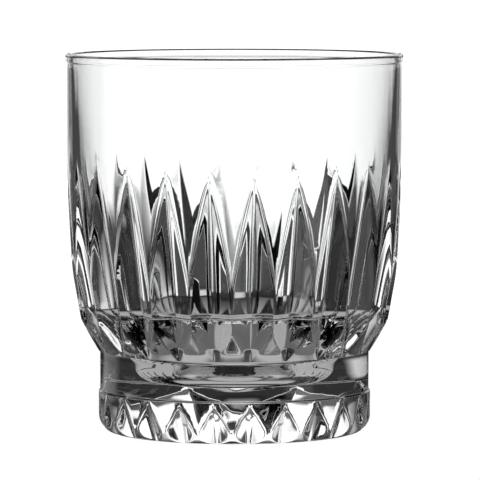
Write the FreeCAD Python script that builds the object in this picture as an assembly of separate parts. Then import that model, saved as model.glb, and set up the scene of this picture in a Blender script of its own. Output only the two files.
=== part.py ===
import FreeCAD, Part
import math
import os

# Whiskey tumbler: one piece of pressed glass. A straight-sided bowl with a ring of tall V cuts
# stands on a short plain neck and a low foot with a ring of small V notches. Inside, the bowl
# narrows over a steep shoulder and a sloping ledge to a small well that reaches down through the
# neck. Millimetres and degrees, +Z up, origin on the axis in the plane that the foot stands on.

# Driving dimensions of the whole glass
HEIGHT = 103.0
RIM_RADIUS = 46.0
NECK_RADIUS = 36.6
FACET_COUNT = 24

# Rim: a fire-polished bead that stands slightly proud of the wall
RIM_THICKNESS = 1.7
BEAD_HEIGHT = 2.4
BEAD_PROUD = 0.35

# Bowl, outside: corners of the half section, with the radius that rounds each one
WALL_CORNER = (RIM_RADIUS - 0.4, 67.0, 500.0)
BELLY_CORNER = (RIM_RADIUS - 1.8, 43.0, 60.0)
SHOULDER_CORNER = (RIM_RADIUS - 3.9, 30.7, 2.0)

# Neck and foot, outside
NECK_TOP = 22.3
LIP_OVERHANG = 0.4
FOOT_HEIGHT = 11.3
FOOT_PROUD = 0.4
FOOT_CORNER_ROUND = 4.6

# Bowl, ledge and well, inside: corners of the half section, and the well's own dimensions
INNER_WALL_CORNER = (41.4, 63.0, 150.0)
INNER_SHOULDER_CORNER = (36.3, 34.4, 4.0)
LEDGE_CORNER = (27.2, 25.8, 2.0)
WELL_RADIUS = 18.6
WELL_TOP = 21.0
WELL_TOP_ROUND = 2.8
WELL_DRAFT = 1.3
WELL_FLOOR = 14.5
WELL_FLOOR_ROUND = 4.5
WELL_DISH = 2.5

# Shallow hollow under the foot, which leaves a ring to stand on
HOLLOW_RADIUS = 28.0
HOLLOW_DEPTH = 0.8
HOLLOW_SLOPE = 2.0

# Tall V cuts round the bowl, each with a straight spine that leans outwards
CUT_HALF_ANGLE = 58.0
CUT_TIP_RADIUS = 45.2
CUT_TIP_HEIGHT = 70.3
CUT_FOOT_RADIUS = NECK_RADIUS + LIP_OVERHANG / 2

# Small V notches round the foot, with spines that lean inwards as they go down
NOTCH_HALF_ANGLE = 58.0
NOTCH_TIP_HEIGHT = 10.4
NOTCH_FOOT_RADIUS = 32.8

# How far the cutting wedges reach past the glass
CLEARANCE = 12.0


def point(radius, height):
    """A point of the half section, in the XZ plane."""
    return FreeCAD.Vector(radius, 0, height)


def rounding_arc(before, corner, after, radius):
    """The arc that rounds a corner and touches both of its sides."""
    to_before = (before - corner).normalize()
    to_after = (after - corner).normalize()
    half_angle = to_before.getAngle(to_after) / 2
    reach = radius / math.tan(half_angle)
    start = corner + to_before * reach
    end = corner + to_after * reach
    bisector = (to_before + to_after).normalize()
    middle = corner + bisector * (radius / math.sin(half_angle) - radius)
    return start, middle, end


def section_edges(corners):
    """The closed outline through corners of (radius, height, rounding), as lines and arcs."""
    points = [point(radius, height) for radius, height, rounding in corners]
    edges = []
    pen = points[0]
    for index in range(1, len(points)):
        corner = points[index]
        rounding = corners[index][2]
        if rounding == 0:
            edges.append(Part.makeLine(pen, corner))
            pen = corner
            continue
        start, middle, end = rounding_arc(points[index - 1], corner, points[index + 1], rounding)
        edges.append(Part.makeLine(pen, start))
        edges.append(Part.Arc(start, middle, end).toShape())
        pen = end
    edges.append(Part.makeLine(pen, points[0]))
    return edges


def turned(corners):
    """The solid that a closed half section makes when it turns once round the Z axis."""
    face = Part.Face(Part.Wire(section_edges(corners)))
    return face.revolve(FreeCAD.Vector(0, 0, 0), FreeCAD.Vector(0, 0, 1), 360)


def glass_blank():
    """The outside of the glass, filled in and not yet cut."""
    foot_radius = NECK_RADIUS + FOOT_PROUD
    wall_top_radius = RIM_RADIUS - BEAD_PROUD
    bead_side = HEIGHT - BEAD_HEIGHT + BEAD_PROUD
    rim_round = RIM_THICKNESS / 2 * 0.95
    return turned([
        (0, 0, 0),
        (foot_radius, 0, FOOT_CORNER_ROUND),
        (foot_radius, FOOT_HEIGHT, 0),
        (NECK_RADIUS, FOOT_HEIGHT + FOOT_PROUD, 0),
        (NECK_RADIUS, NECK_TOP, 0),
        (NECK_RADIUS + LIP_OVERHANG, NECK_TOP, 0),
        SHOULDER_CORNER,
        BELLY_CORNER,
        WALL_CORNER,
        (wall_top_radius, HEIGHT - BEAD_HEIGHT, 0),
        (RIM_RADIUS, bead_side, 0),
        (RIM_RADIUS, HEIGHT, rim_round),
        (RIM_RADIUS - RIM_THICKNESS / 2, HEIGHT, 0),
        (0, HEIGHT, 0),
    ])


def cavity():
    """The space inside: the bowl, its steep shoulder, a sloping ledge and the well with its dished floor."""
    rim_inside = RIM_RADIUS - RIM_THICKNESS
    rim_round = RIM_THICKNESS / 2 * 0.95
    above = HEIGHT + CLEARANCE
    mouth_radius = RIM_RADIUS - RIM_THICKNESS / 2
    return turned([
        (0, WELL_FLOOR - WELL_DISH, 0),
        (WELL_RADIUS - WELL_DRAFT, WELL_FLOOR, WELL_FLOOR_ROUND),
        (WELL_RADIUS, WELL_TOP, WELL_TOP_ROUND),
        LEDGE_CORNER,
        INNER_SHOULDER_CORNER,
        INNER_WALL_CORNER,
        (rim_inside, HEIGHT - rim_round, 0),
        (mouth_radius, HEIGHT, 0),
        (mouth_radius, above, 0),
        (0, above, 0),
    ])


def foot_hollow():
    """The shallow hollow in the underside of the foot."""
    return turned([
        (0, -CLEARANCE, 0),
        (HOLLOW_RADIUS, -CLEARANCE, 0),
        (HOLLOW_RADIUS, 0, 0),
        (HOLLOW_RADIUS - HOLLOW_SLOPE, HOLLOW_DEPTH, 0),
        (0, HOLLOW_DEPTH, 0),
    ])


def wedge(low_height, low_radius, high_height, high_radius, half_angle):
    """A V-shaped cutter that points at the axis, with a straight spine between two heights."""
    outer_radius = RIM_RADIUS + CLEARANCE
    ends = []
    for height, spine_radius in ((low_height, low_radius), (high_height, high_radius)):
        half_width = (outer_radius - spine_radius) * math.tan(math.radians(half_angle))
        ends.append(Part.makePolygon([
            FreeCAD.Vector(spine_radius, 0, height),
            FreeCAD.Vector(outer_radius, half_width, height),
            FreeCAD.Vector(outer_radius, -half_width, height),
            FreeCAD.Vector(spine_radius, 0, height),
        ]))
    return Part.makeLoft(ends, True, True)


def along(start, end, fraction):
    return start + (end - start) * fraction


def bowl_cutter():
    """The wedge for one tall cut, which stops at the neck and runs out above its tip."""
    reach = (CUT_TIP_HEIGHT + CLEARANCE - NECK_TOP) / (CUT_TIP_HEIGHT - NECK_TOP)
    high_radius = along(CUT_FOOT_RADIUS, CUT_TIP_RADIUS, reach)
    return wedge(NECK_TOP, CUT_FOOT_RADIUS, CUT_TIP_HEIGHT + CLEARANCE, high_radius, CUT_HALF_ANGLE)


def foot_cutter():
    """The wedge for one foot notch, which is deepest at the plane the foot stands on."""
    tip_radius = NECK_RADIUS + FOOT_PROUD
    below = -1.0
    low_radius = along(NOTCH_FOOT_RADIUS, tip_radius, below / NOTCH_TIP_HEIGHT)
    return wedge(below, low_radius, NOTCH_TIP_HEIGHT, tip_radius, NOTCH_HALF_ANGLE)


def ring_of(cutter):
    """Copies of a cutter, evenly spaced round the axis."""
    copies = []
    for index in range(FACET_COUNT):
        copy = cutter.copy()
        copy.rotate(FreeCAD.Vector(0, 0, 0), FreeCAD.Vector(0, 0, 1), index * 360 / FACET_COUNT)
        copies.append(copy)
    return copies


def tumbler_glass():
    """The whole tumbler, a single solid."""
    shape = glass_blank()
    for cutter in ring_of(bowl_cutter()) + ring_of(foot_cutter()):
        shape = shape.cut(cutter)
    return shape.cut(cavity()).cut(foot_hollow())


os.makedirs("parts", exist_ok=True)
glass = tumbler_glass()
print("tumbler_glass", glass.isValid(), len(glass.Solids), round(glass.Volume), glass.BoundBox)
glass.exportStep("parts/tumbler_glass.step")
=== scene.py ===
import math

import bmesh
import bpy
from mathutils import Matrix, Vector


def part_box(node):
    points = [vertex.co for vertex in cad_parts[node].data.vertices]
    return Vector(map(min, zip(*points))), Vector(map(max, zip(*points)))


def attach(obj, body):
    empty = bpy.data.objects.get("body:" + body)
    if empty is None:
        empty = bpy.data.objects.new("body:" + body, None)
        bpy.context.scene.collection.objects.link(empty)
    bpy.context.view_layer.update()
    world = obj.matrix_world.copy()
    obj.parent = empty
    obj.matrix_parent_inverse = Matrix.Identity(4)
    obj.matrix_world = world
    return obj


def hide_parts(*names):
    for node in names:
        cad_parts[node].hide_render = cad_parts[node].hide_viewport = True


# A whiskey tumbler of clear pressed glass on a pale floor, in soft light from behind.
# Metres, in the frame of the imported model: +Z up, origin on the axis under the foot.

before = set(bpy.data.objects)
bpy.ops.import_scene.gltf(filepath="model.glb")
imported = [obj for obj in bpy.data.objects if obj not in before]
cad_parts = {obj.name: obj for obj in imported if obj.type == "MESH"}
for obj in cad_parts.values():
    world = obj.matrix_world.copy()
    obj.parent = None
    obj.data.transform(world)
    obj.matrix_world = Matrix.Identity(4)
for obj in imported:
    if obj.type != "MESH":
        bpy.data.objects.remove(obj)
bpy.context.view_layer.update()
glass_low, glass_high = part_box("tumbler_glass")

MM = 0.001
HEIGHT = glass_high.z - glass_low.z
RIM_RADIUS = (glass_high.x - glass_low.x) / 2 - 0.02 * MM
FACET_COUNT = 24
HALF_SECTOR = math.pi / FACET_COUNT

# Outside of the glass: the same half section as the CAD model
NECK_RADIUS = 36.6 * MM
NECK_TOP = 22.3 * MM
LIP_OVERHANG = 0.4 * MM
FOOT_HEIGHT = 11.3 * MM
FOOT_PROUD = 0.4 * MM
FOOT_CORNER_ROUND = 4.6 * MM
RIM_THICKNESS = 1.7 * MM
BEAD_HEIGHT = 2.4 * MM
BEAD_PROUD = 0.35 * MM
RIM_ROUND = RIM_THICKNESS / 2 * 0.95
WALL_CORNER = (RIM_RADIUS - 0.4 * MM, 67.0 * MM, 500.0 * MM)
BELLY_CORNER = (RIM_RADIUS - 1.8 * MM, 43.0 * MM, 60.0 * MM)
SHOULDER_CORNER = (RIM_RADIUS - 3.9 * MM, 30.7 * MM, 2.0 * MM)

# How softly the small edges are rounded
BEAD_EDGE_ROUND = 0.5 * MM
LIP_EDGE_ROUND = 0.12 * MM
FOOT_EDGE_ROUND = 0.3 * MM
HOLLOW_EDGE_ROUND = 0.5 * MM
HOLLOW_TOP_ROUND = 0.8 * MM

# Inside of the glass: corners of the half section, and the well's own dimensions
INNER_WALL_CORNER = (41.4 * MM, 63.0 * MM, 150.0 * MM)
INNER_SHOULDER_CORNER = (36.3 * MM, 34.4 * MM, 4.0 * MM)
LEDGE_CORNER = (27.2 * MM, 25.8 * MM, 2.0 * MM)
WELL_RADIUS = 18.6 * MM
WELL_TOP = 21.0 * MM
WELL_TOP_ROUND = 2.8 * MM
WELL_DRAFT = 1.3 * MM
WELL_FLOOR = 14.5 * MM
WELL_FLOOR_ROUND = 4.5 * MM
WELL_DISH = 2.5 * MM

# Underside: the shallow hollow that leaves a ring to stand on
HOLLOW_RADIUS = 28.0 * MM
HOLLOW_DEPTH = 0.8 * MM
HOLLOW_SLOPE = 2.0 * MM

# V cuts: the slope of their sides, their spines, and how softly their ridges are rounded
CUT_SIDE = math.tan(math.radians(58.0))
CUT_TIP_RADIUS = 45.2 * MM
CUT_TIP_HEIGHT = 70.3 * MM
CUT_FOOT_RADIUS = NECK_RADIUS + LIP_OVERHANG / 2
CUT_SPINE_ROUND = 0.12 * MM
CUT_RIDGE_ROUND = 0.55 * MM
NOTCH_SIDE = math.tan(math.radians(58.0))
NOTCH_TIP_HEIGHT = 10.4 * MM
NOTCH_FOOT_RADIUS = 32.8 * MM
NOTCH_RIDGE_ROUND = 0.35 * MM

# Mesh density, and the radius of the innermost row, inside which the middle is a fan
ROW_STEP = 1.8 * MM
ARC_STEP = math.radians(9.0)
FAN_RADIUS = 2.0 * MM

# Camera: the photograph's viewing angle, from a long way off with a long lens
CAMERA_AZIMUTH = math.radians(-6.6)
CAMERA_DISTANCE = 1.264
CAMERA_ABOVE_RIM = 0.0388
AIM_HEIGHT = 52.2 * MM
AIM_ASIDE = 1.53 * MM
LENS = 348.8
SENSOR = 36.0

# How often light may bounce on its way through the glass
BOUNCES = 5

# Glass: how far it bends light, how wavy its polish is, and how far its faint haze roughens it
GLASS_INDEX = 1.52
GLASS_TINT = (0.99, 0.995, 0.995, 1)
GLASS_WAVES = 0.05
WAVE_DEPTH = 0.2 * MM
WAVE_SCALE = 90
GLASS_HAZE = 0.012
HAZE_SCALE = 400

# Soft lights round the glass: the azimuth of the middle, how far to each side the light begins
# and ends to fade, in degrees, and its strength. The first stands behind the main view, with
# the second round it, and each of the others stands behind one other view. LIGHT_TOP is where
# they all begin and end to fade upwards, in degrees above level.
LIGHTS = (
    (83.4, 12, 32, 1.25),
    (83.4, 50, 80, 0.07),
    (180, 10, 22, 0.9),
    (315, 14, 26, 0.9),
)
LIGHT_TOP = (22, 32)

# The dim gap between the table's far edge and the bottom of the lights: its middle, in degrees
# above level, how far up and down it begins and ends to fade, and the light that is left in it
GAP_MIDDLE = 1.5
GAP_REACH = (1.8, 2.8)
GAP_SHARE = 0.1

# The dim room between the lights
DARK = 0.03

# How bright the table near the glass looks from inside it, with painted shadow in the dim stops and
# painted light in the bright ones: distance from the axis, and brightness
PAINTED_TABLE_LIGHT_AND_SHADE = (
    (0.0 * MM, 0.55),
    (8.5 * MM, 0.5),
    (10.0 * MM, 0.05),
    (13.5 * MM, 0.05),
    (16.0 * MM, 0.45),
    (21.0 * MM, 0.45),
    (25.0 * MM, 0.13),
    (35.0 * MM, 0.13),
    (39.0 * MM, 0.42),
    (70.0 * MM, 0.42),
    (84.0 * MM, 0.30),
    (96.0 * MM, 0.10),
    (103.0 * MM, 0.02),
)
TABLE_RADIUS = 600.0 * MM
TABLE_SINK = 0.1 * MM

# Where the soft lights, painted on the table, begin to show there, and where they do so in full
PAINTED_LIGHT_REACH = (220.0 * MM, 330.0 * MM)

# Painted pools of light on the table behind the two views from above, placed like the soft
# lights, and the distances from the glass between which they lie
PAINTED_GLOWS = (
    (138, 9, 22, 0.75),
    (315, 8, 15, 0.9),
)
PAINTED_GLOW_START = (104.0 * MM, 125.0 * MM)
PAINTED_GLOW_END = (190.0 * MM, 300.0 * MM)

# A painted patch of light, standing for light that the glass gathers, on the table under the glass's
# near side: its middle, the radii where it begins and ends to fade, and its brightness
PATCH_PLACE = (2.5 * MM, -30.5 * MM, 0)
PATCH_RADII = (5.0 * MM, 9.0 * MM)
PAINTED_PATCH_BRIGHTNESS = 0.4


def along(start, end, fraction):
    return start + (end - start) * fraction


def rounded_path(corners):
    """Points along a path through corners of (radius, height, rounding), with the corners rounded."""
    points = [Vector((radius, height)) for radius, height, rounding in corners]
    path = [points[0]]
    for index in range(1, len(points)):
        corner = points[index]
        rounding = corners[index][2]
        if rounding == 0:
            path += straight(path[-1], corner)
            continue
        back = (points[index - 1] - corner).normalized()
        ahead = (points[index + 1] - corner).normalized()
        half_angle = back.angle(ahead) / 2
        reach = rounding / math.tan(half_angle)
        centre = corner + (back + ahead).normalized() * (rounding / math.sin(half_angle))
        start = corner + back * reach
        path += straight(path[-1], start)
        turn = math.pi - 2 * half_angle
        side = 1 if back.cross(ahead) > 0 else -1
        steps = max(3, math.ceil(turn / ARC_STEP), math.ceil(turn * rounding / ROW_STEP))
        for step in range(1, steps + 1):
            angle = -side * turn * step / steps
            spoke = start - centre
            cosine = math.cos(angle)
            sine = math.sin(angle)
            turned = Vector((spoke.x * cosine - spoke.y * sine, spoke.x * sine + spoke.y * cosine))
            path.append(centre + turned)
    return path


def straight(start, end):
    """Points after the start of a straight run, close enough together for the cuts."""
    length = (end - start).length
    if length < 1e-7:
        return []
    steps = max(1, math.ceil(length / ROW_STEP))
    return [start.lerp(end, step / steps) for step in range(1, steps + 1)]


def outer_path():
    """The outside from the rim's crest down to the ring that the glass stands on."""
    return rounded_path([
        (RIM_RADIUS - RIM_THICKNESS / 2, HEIGHT, 0),
        (RIM_RADIUS, HEIGHT, RIM_ROUND),
        (RIM_RADIUS, HEIGHT - BEAD_HEIGHT + BEAD_PROUD, BEAD_EDGE_ROUND),
        (RIM_RADIUS - BEAD_PROUD, HEIGHT - BEAD_HEIGHT, BEAD_EDGE_ROUND),
        WALL_CORNER,
        BELLY_CORNER,
        SHOULDER_CORNER,
        (NECK_RADIUS + LIP_OVERHANG, NECK_TOP, LIP_EDGE_ROUND),
        (NECK_RADIUS, NECK_TOP, LIP_EDGE_ROUND),
        (NECK_RADIUS, FOOT_HEIGHT + FOOT_PROUD, FOOT_EDGE_ROUND),
        (NECK_RADIUS + FOOT_PROUD, FOOT_HEIGHT, FOOT_EDGE_ROUND),
        (NECK_RADIUS + FOOT_PROUD, 0, FOOT_CORNER_ROUND),
        (NECK_RADIUS + FOOT_PROUD - FOOT_CORNER_ROUND, 0, 0),
    ])


def underside_path():
    """The underside from the standing ring in to the axis."""
    return rounded_path([
        (HOLLOW_RADIUS + HOLLOW_SLOPE, 0, 0),
        (HOLLOW_RADIUS, 0, HOLLOW_EDGE_ROUND),
        (HOLLOW_RADIUS - HOLLOW_SLOPE, HOLLOW_DEPTH, HOLLOW_TOP_ROUND),
        (FAN_RADIUS, HOLLOW_DEPTH, 0),
    ])


def inner_path():
    """The inside from the axis out over the well's floor and up to the rim's crest."""
    return rounded_path([
        (FAN_RADIUS, WELL_FLOOR - WELL_DISH, 0),
        (WELL_RADIUS - WELL_DRAFT, WELL_FLOOR, WELL_FLOOR_ROUND),
        (WELL_RADIUS, WELL_TOP, WELL_TOP_ROUND),
        LEDGE_CORNER,
        INNER_SHOULDER_CORNER,
        INNER_WALL_CORNER,
        (RIM_RADIUS - RIM_THICKNESS, HEIGHT - BEAD_HEIGHT / 2, 0),
        (RIM_RADIUS - RIM_THICKNESS, HEIGHT, RIM_ROUND),
        (RIM_RADIUS - RIM_THICKNESS / 2, HEIGHT, 0),
    ])


def smooth_min(first, second, rounding):
    """The smaller of two radii, with the ridge where they meet rounded off."""
    overlap = max(rounding - abs(first - second), 0) / rounding
    return min(first, second) - overlap * overlap * rounding / 4


def v_radius(angle, spine_radius, side):
    """Radius of a V cut's surface at an angle from its spine, with a slightly rounded bottom."""
    sine = math.hypot(math.sin(angle), CUT_SPINE_ROUND / spine_radius)
    return spine_radius / (math.cos(angle) - sine / side)


def cut_at(height):
    """The cut that reaches this height: its spine's radius, its side slope and its ridge rounding."""
    if height >= NECK_TOP:
        rise = (height - NECK_TOP) / (CUT_TIP_HEIGHT - NECK_TOP)
        return along(CUT_FOOT_RADIUS, CUT_TIP_RADIUS, rise), CUT_SIDE, CUT_RIDGE_ROUND
    if height <= NOTCH_TIP_HEIGHT + NOTCH_RIDGE_ROUND:
        rise = height / NOTCH_TIP_HEIGHT
        tip_radius = NECK_RADIUS + FOOT_PROUD
        return along(NOTCH_FOOT_RADIUS, tip_radius, rise), NOTCH_SIDE, NOTCH_RIDGE_ROUND
    return None


def cut_radius(angle, radius, height):
    """Radius of the outer surface at an angle from the nearest cut's spine."""
    cut = cut_at(height)
    if cut is None:
        return radius
    spine_radius, side, rounding = cut
    if spine_radius > radius + rounding:
        return radius
    own = v_radius(angle, spine_radius, side)
    neighbour = v_radius(2 * HALF_SECTOR - angle, spine_radius, side)
    facets = smooth_min(own, neighbour, rounding / 2)
    return smooth_min(facets, radius, rounding)


def edge_angle(radius, height):
    """Half the angle that a cut spans at this height, within the limits the mesh needs."""
    narrowest = 0.07 * HALF_SECTOR
    widest = 0.94 * HALF_SECTOR
    cut = cut_at(height)
    if cut is None:
        rise = (height - NOTCH_TIP_HEIGHT) / (NECK_TOP - NOTCH_TIP_HEIGHT)
        return along(narrowest, widest, min(max(rise, 0), 1))
    spine_radius, side, rounding = cut
    angle = narrowest
    step = 0.005 * HALF_SECTOR
    while angle < widest and v_radius(angle, spine_radius, side) < radius:
        angle += step
    return min(angle, widest)


def column_angles(edge):
    """Angles of the mesh columns in one sector, crowded where the cut's sides meet other faces."""
    inside = [0, 0.05, 0.3, 0.62, 0.86, 1.0]
    outside = [0.22, 0.6, 1.0]
    half = [edge * share for share in inside]
    half += [along(edge, HALF_SECTOR, share) for share in outside]
    return [-angle for angle in reversed(half[1:-1])] + half


def ring(radius, height, angles, cut):
    """One closed row of vertices round the axis."""
    row = []
    for sector in range(FACET_COUNT):
        for angle in angles:
            own_radius = cut_radius(abs(angle), radius, height) if cut else radius
            azimuth = angle + 2 * HALF_SECTOR * sector
            row.append((own_radius * math.cos(azimuth), own_radius * math.sin(azimuth), height))
    return row


def glass_rows():
    """All rows of the glass, from the middle of the well's floor to the middle of the underside."""
    plain_angles = column_angles(HALF_SECTOR / 2)
    rows = []
    for radius, height in inner_path():
        rows.append(ring(radius, height, plain_angles, False))
    for radius, height in outer_path()[1:]:
        angles = column_angles(edge_angle(radius, height))
        rows.append(ring(radius, height, angles, True))
    for radius, height in underside_path():
        rows.append(ring(radius, height, plain_angles, False))
    return rows


def glass_mesh():
    """The tumbler as one closed mesh."""
    rows = glass_rows()
    columns = len(rows[0])
    points = [point for row in rows for point in row]
    faces = []
    for row in range(len(rows) - 1):
        for column in range(columns):
            beside = (column + 1) % columns
            here = row * columns
            below = here + columns
            faces.append((here + column, here + beside, below + beside, below + column))
    floor_middle = len(points)
    points.append((0, 0, WELL_FLOOR - WELL_DISH))
    under_middle = len(points)
    points.append((0, 0, HOLLOW_DEPTH))
    last = (len(rows) - 1) * columns
    for column in range(columns):
        beside = (column + 1) % columns
        faces.append((floor_middle, beside, column))
        faces.append((under_middle, last + column, last + beside))
    mesh = bpy.data.meshes.new("tumbler")
    mesh.from_pydata(points, [], faces)
    shell = bmesh.new()
    shell.from_mesh(mesh)
    bmesh.ops.recalc_face_normals(shell, faces=shell.faces)
    for face in shell.faces:
        face.smooth = True
    shell.to_mesh(mesh)
    print("glass", len(mesh.polygons), "faces", shell.calc_volume() * 1e6, "ml of glass")
    shell.free()
    return mesh


def link(nodes, source, target):
    nodes.id_data.links.new(source, target)


def maths(nodes, operation, *values):
    """A Math node on numbers or sockets; gives its output socket."""
    node = nodes.new("ShaderNodeMath")
    node.operation = operation
    for index, value in enumerate(values):
        if isinstance(value, bpy.types.NodeSocket):
            link(nodes, value, node.inputs[index])
        else:
            node.inputs[index].default_value = value
    return node.outputs[0]


def ramp(nodes, value, start, end, low, high):
    """A smooth step of a socket from low to high between start and end."""
    node = nodes.new("ShaderNodeMapRange")
    node.interpolation_type = "SMOOTHSTEP"
    link(nodes, value, node.inputs["Value"])
    for name, number in zip(("From Min", "From Max", "To Min", "To Max"), (start, end, low, high)):
        node.inputs[name].default_value = number
    return node.outputs["Result"]


def glass_material():
    """Clear pressed glass: fire-polished, with the faint waviness that the mould leaves."""
    material = bpy.data.materials.new("clear_pressed_glass")
    material.use_nodes = True
    nodes = material.node_tree.nodes
    shader = nodes["Principled BSDF"]
    shader.inputs["Base Color"].default_value = GLASS_TINT
    shader.inputs["Transmission Weight"].default_value = 1
    shader.inputs["IOR"].default_value = GLASS_INDEX
    place = nodes.new("ShaderNodeTexCoord")
    waves = nodes.new("ShaderNodeTexNoise")
    waves.inputs["Scale"].default_value = WAVE_SCALE
    waves.inputs["Detail"].default_value = 1.5
    link(nodes, place.outputs["Object"], waves.inputs["Vector"])
    bump = nodes.new("ShaderNodeBump")
    bump.inputs["Strength"].default_value = GLASS_WAVES
    bump.inputs["Distance"].default_value = WAVE_DEPTH
    link(nodes, waves.outputs[0], bump.inputs["Height"])
    link(nodes, bump.outputs["Normal"], shader.inputs["Normal"])
    haze = nodes.new("ShaderNodeTexNoise")
    haze.inputs["Scale"].default_value = HAZE_SCALE
    link(nodes, place.outputs["Object"], haze.inputs["Vector"])
    link(nodes, ramp(nodes, haze.outputs[0], 0.35, 0.75, 0.0, GLASS_HAZE), shader.inputs["Roughness"])
    return material


def soft_lights(nodes, x, y, lights):
    """How bright the brightest of some lights is, towards a direction, or painted at a place on the
    table.
    """
    azimuth = maths(nodes, "ARCTAN2", y, x)
    brightest = DARK
    for middle, fade_start, fade_end, strength in lights:
        side = maths(nodes, "SUBTRACT", azimuth, math.radians(middle))
        side = maths(nodes, "ABSOLUTE", maths(nodes, "WRAP", side, math.pi, -math.pi))
        light = ramp(nodes, side, math.radians(fade_start), math.radians(fade_end), strength, 0)
        brightest = maths(nodes, "MAXIMUM", brightest, light)
    return brightest


def studio_world():
    """White to the camera; to the glass, soft lights round it in a dim room."""
    world = bpy.data.worlds.new("studio")
    bpy.context.scene.world = world
    world.use_nodes = True
    nodes = world.node_tree.nodes
    nodes.clear()
    place = nodes.new("ShaderNodeTexCoord")
    split = nodes.new("ShaderNodeSeparateXYZ")
    link(nodes, place.outputs["Generated"], split.inputs[0])
    lights = soft_lights(nodes, split.outputs["X"], split.outputs["Y"], LIGHTS)
    elevation = maths(nodes, "ARCSINE", split.outputs["Z"])
    top_start, top_end = LIGHT_TOP
    below_top = ramp(nodes, elevation, math.radians(top_start), math.radians(top_end), 1, 0)
    off_gap = maths(nodes, "SUBTRACT", elevation, math.radians(GAP_MIDDLE))
    off_gap = maths(nodes, "ABSOLUTE", off_gap)
    gap_start, gap_end = GAP_REACH
    clear_of_gap = ramp(nodes, off_gap, math.radians(gap_start), math.radians(gap_end), GAP_SHARE, 1)
    lights = maths(nodes, "MULTIPLY", maths(nodes, "MULTIPLY", lights, below_top), clear_of_gap)
    lit = maths(nodes, "MAXIMUM", lights, DARK)
    path = nodes.new("ShaderNodeLightPath")
    background = nodes.new("ShaderNodeBackground")
    background.inputs["Color"].default_value = (1, 1, 1, 1)
    lit = maths(nodes, "MAXIMUM", lit, path.outputs["Is Camera Ray"])
    link(nodes, lit, background.inputs["Strength"])
    output = nodes.new("ShaderNodeOutputWorld")
    link(nodes, background.outputs[0], output.inputs["Surface"])


def painted_table_light_and_shade(nodes, distance):
    """Painted light and shade of the table near the glass, by distance from its axis."""
    reach = PAINTED_TABLE_LIGHT_AND_SHADE[-1][0]
    curve = nodes.new("ShaderNodeValToRGB")
    link(nodes, maths(nodes, "DIVIDE", distance, reach), curve.inputs["Fac"])
    stops = curve.color_ramp.elements
    while len(stops) < len(PAINTED_TABLE_LIGHT_AND_SHADE):
        stops.new(0.5)
    for stop, (radius, brightness) in zip(stops, PAINTED_TABLE_LIGHT_AND_SHADE):
        stop.position = radius / reach
        stop.color = (brightness, brightness, brightness, 1)
    return curve.outputs["Color"]


def painted_light_patch(nodes, place):
    """Brightness of the small painted patch of light under the near side of the foot."""
    offset = nodes.new("ShaderNodeVectorMath")
    offset.operation = "DISTANCE"
    link(nodes, place, offset.inputs[0])
    offset.inputs[1].default_value = PATCH_PLACE
    core, edge = PATCH_RADII
    return ramp(nodes, offset.outputs["Value"], core, edge, PAINTED_PATCH_BRIGHTNESS, 0)


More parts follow.
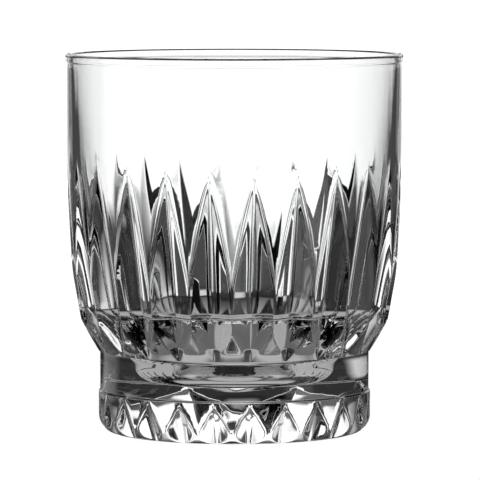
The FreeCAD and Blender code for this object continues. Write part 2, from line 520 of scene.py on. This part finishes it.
def floor_material():
    """A pale table, white to the camera; to the glass, an emitting surface with the soft lights,
    glows and a patch of light painted on it, and painted shade close to it.
    """
    material = bpy.data.materials.new("pale_floor")
    material.use_nodes = True
    nodes = material.node_tree.nodes
    nodes.clear()
    place = nodes.new("ShaderNodeTexCoord")
    distance = nodes.new("ShaderNodeVectorMath")
    distance.operation = "LENGTH"
    link(nodes, place.outputs["Object"], distance.inputs[0])
    split = nodes.new("ShaderNodeSeparateXYZ")
    link(nodes, place.outputs["Object"], split.inputs[0])
    away = distance.outputs["Value"]
    # Painted shade and light on the table by distance from the axis, and a painted patch of light
    lit = painted_table_light_and_shade(nodes, away)
    lit = maths(nodes, "MAXIMUM", lit, painted_light_patch(nodes, place.outputs["Object"]))
    # Painted light of the soft lights on the table, far from the glass
    lights = soft_lights(nodes, split.outputs["X"], split.outputs["Y"], LIGHTS)
    lights = maths(nodes, "MULTIPLY", lights, ramp(nodes, away, *PAINTED_LIGHT_REACH, 0, 1))
    lit = maths(nodes, "MAXIMUM", lit, lights)
    # Painted pools of light on the table behind the two views from above
    painted_glows = soft_lights(nodes, split.outputs["X"], split.outputs["Y"], PAINTED_GLOWS)
    painted_glows = maths(nodes, "MULTIPLY", painted_glows, ramp(nodes, away, *PAINTED_GLOW_START, 0, 1))
    painted_glows = maths(nodes, "MULTIPLY", painted_glows, ramp(nodes, away, *PAINTED_GLOW_END, 1, 0))
    lit = maths(nodes, "MAXIMUM", lit, painted_glows)
    path = nodes.new("ShaderNodeLightPath")
    # The table only glows: its light and shade are painted on, not cast
    light = nodes.new("ShaderNodeEmission")
    lit = maths(nodes, "MAXIMUM", lit, path.outputs["Is Camera Ray"])
    link(nodes, lit, light.inputs["Strength"])
    output = nodes.new("ShaderNodeOutputMaterial")
    link(nodes, light.outputs[0], output.inputs["Surface"])
    return material


def floor():
    mesh = bpy.data.meshes.new("floor")
    disc = bmesh.new()
    bmesh.ops.create_circle(disc, cap_ends=True, segments=96, radius=TABLE_RADIUS)
    disc.to_mesh(mesh)
    disc.free()
    mesh.materials.append(floor_material())
    piece = bpy.data.objects.new("floor", mesh)
    piece.location.z = -TABLE_SINK
    bpy.context.scene.collection.objects.link(piece)


def tumbler():
    mesh = glass_mesh()
    mesh.materials.append(glass_material())
    piece = bpy.data.objects.new("tumbler", mesh)
    bpy.context.scene.collection.objects.link(piece)
    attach(piece, "root")
    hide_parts("tumbler_glass")


def camera():
    """A long lens, a little above the rim, level with the photograph's view."""
    lens = bpy.data.cameras.new("camera")
    lens.lens = LENS
    lens.sensor_width = SENSOR
    lens.clip_start = 0.01
    view = bpy.data.objects.new("camera", lens)
    bpy.context.scene.collection.objects.link(view)
    sine = math.sin(CAMERA_AZIMUTH)
    cosine = math.cos(CAMERA_AZIMUTH)
    view.location = (
        CAMERA_DISTANCE * sine,
        -CAMERA_DISTANCE * cosine,
        HEIGHT + CAMERA_ABOVE_RIM,
    )
    aim = Vector((AIM_ASIDE * cosine, AIM_ASIDE * sine, AIM_HEIGHT))
    view.rotation_euler = (aim - view.location).to_track_quat("-Z", "Y").to_euler()
    bpy.context.scene.camera = view


def look():
    """Whites that stay white, and few enough bounces for the thick glass to stay clean."""
    scene = bpy.context.scene
    scene.view_settings.view_transform = "Standard"
    scene.cycles.max_bounces = BOUNCES
    scene.cycles.transmission_bounces = BOUNCES
    scene.cycles.glossy_bounces = BOUNCES


look()
studio_world()
floor()
tumbler()
camera()
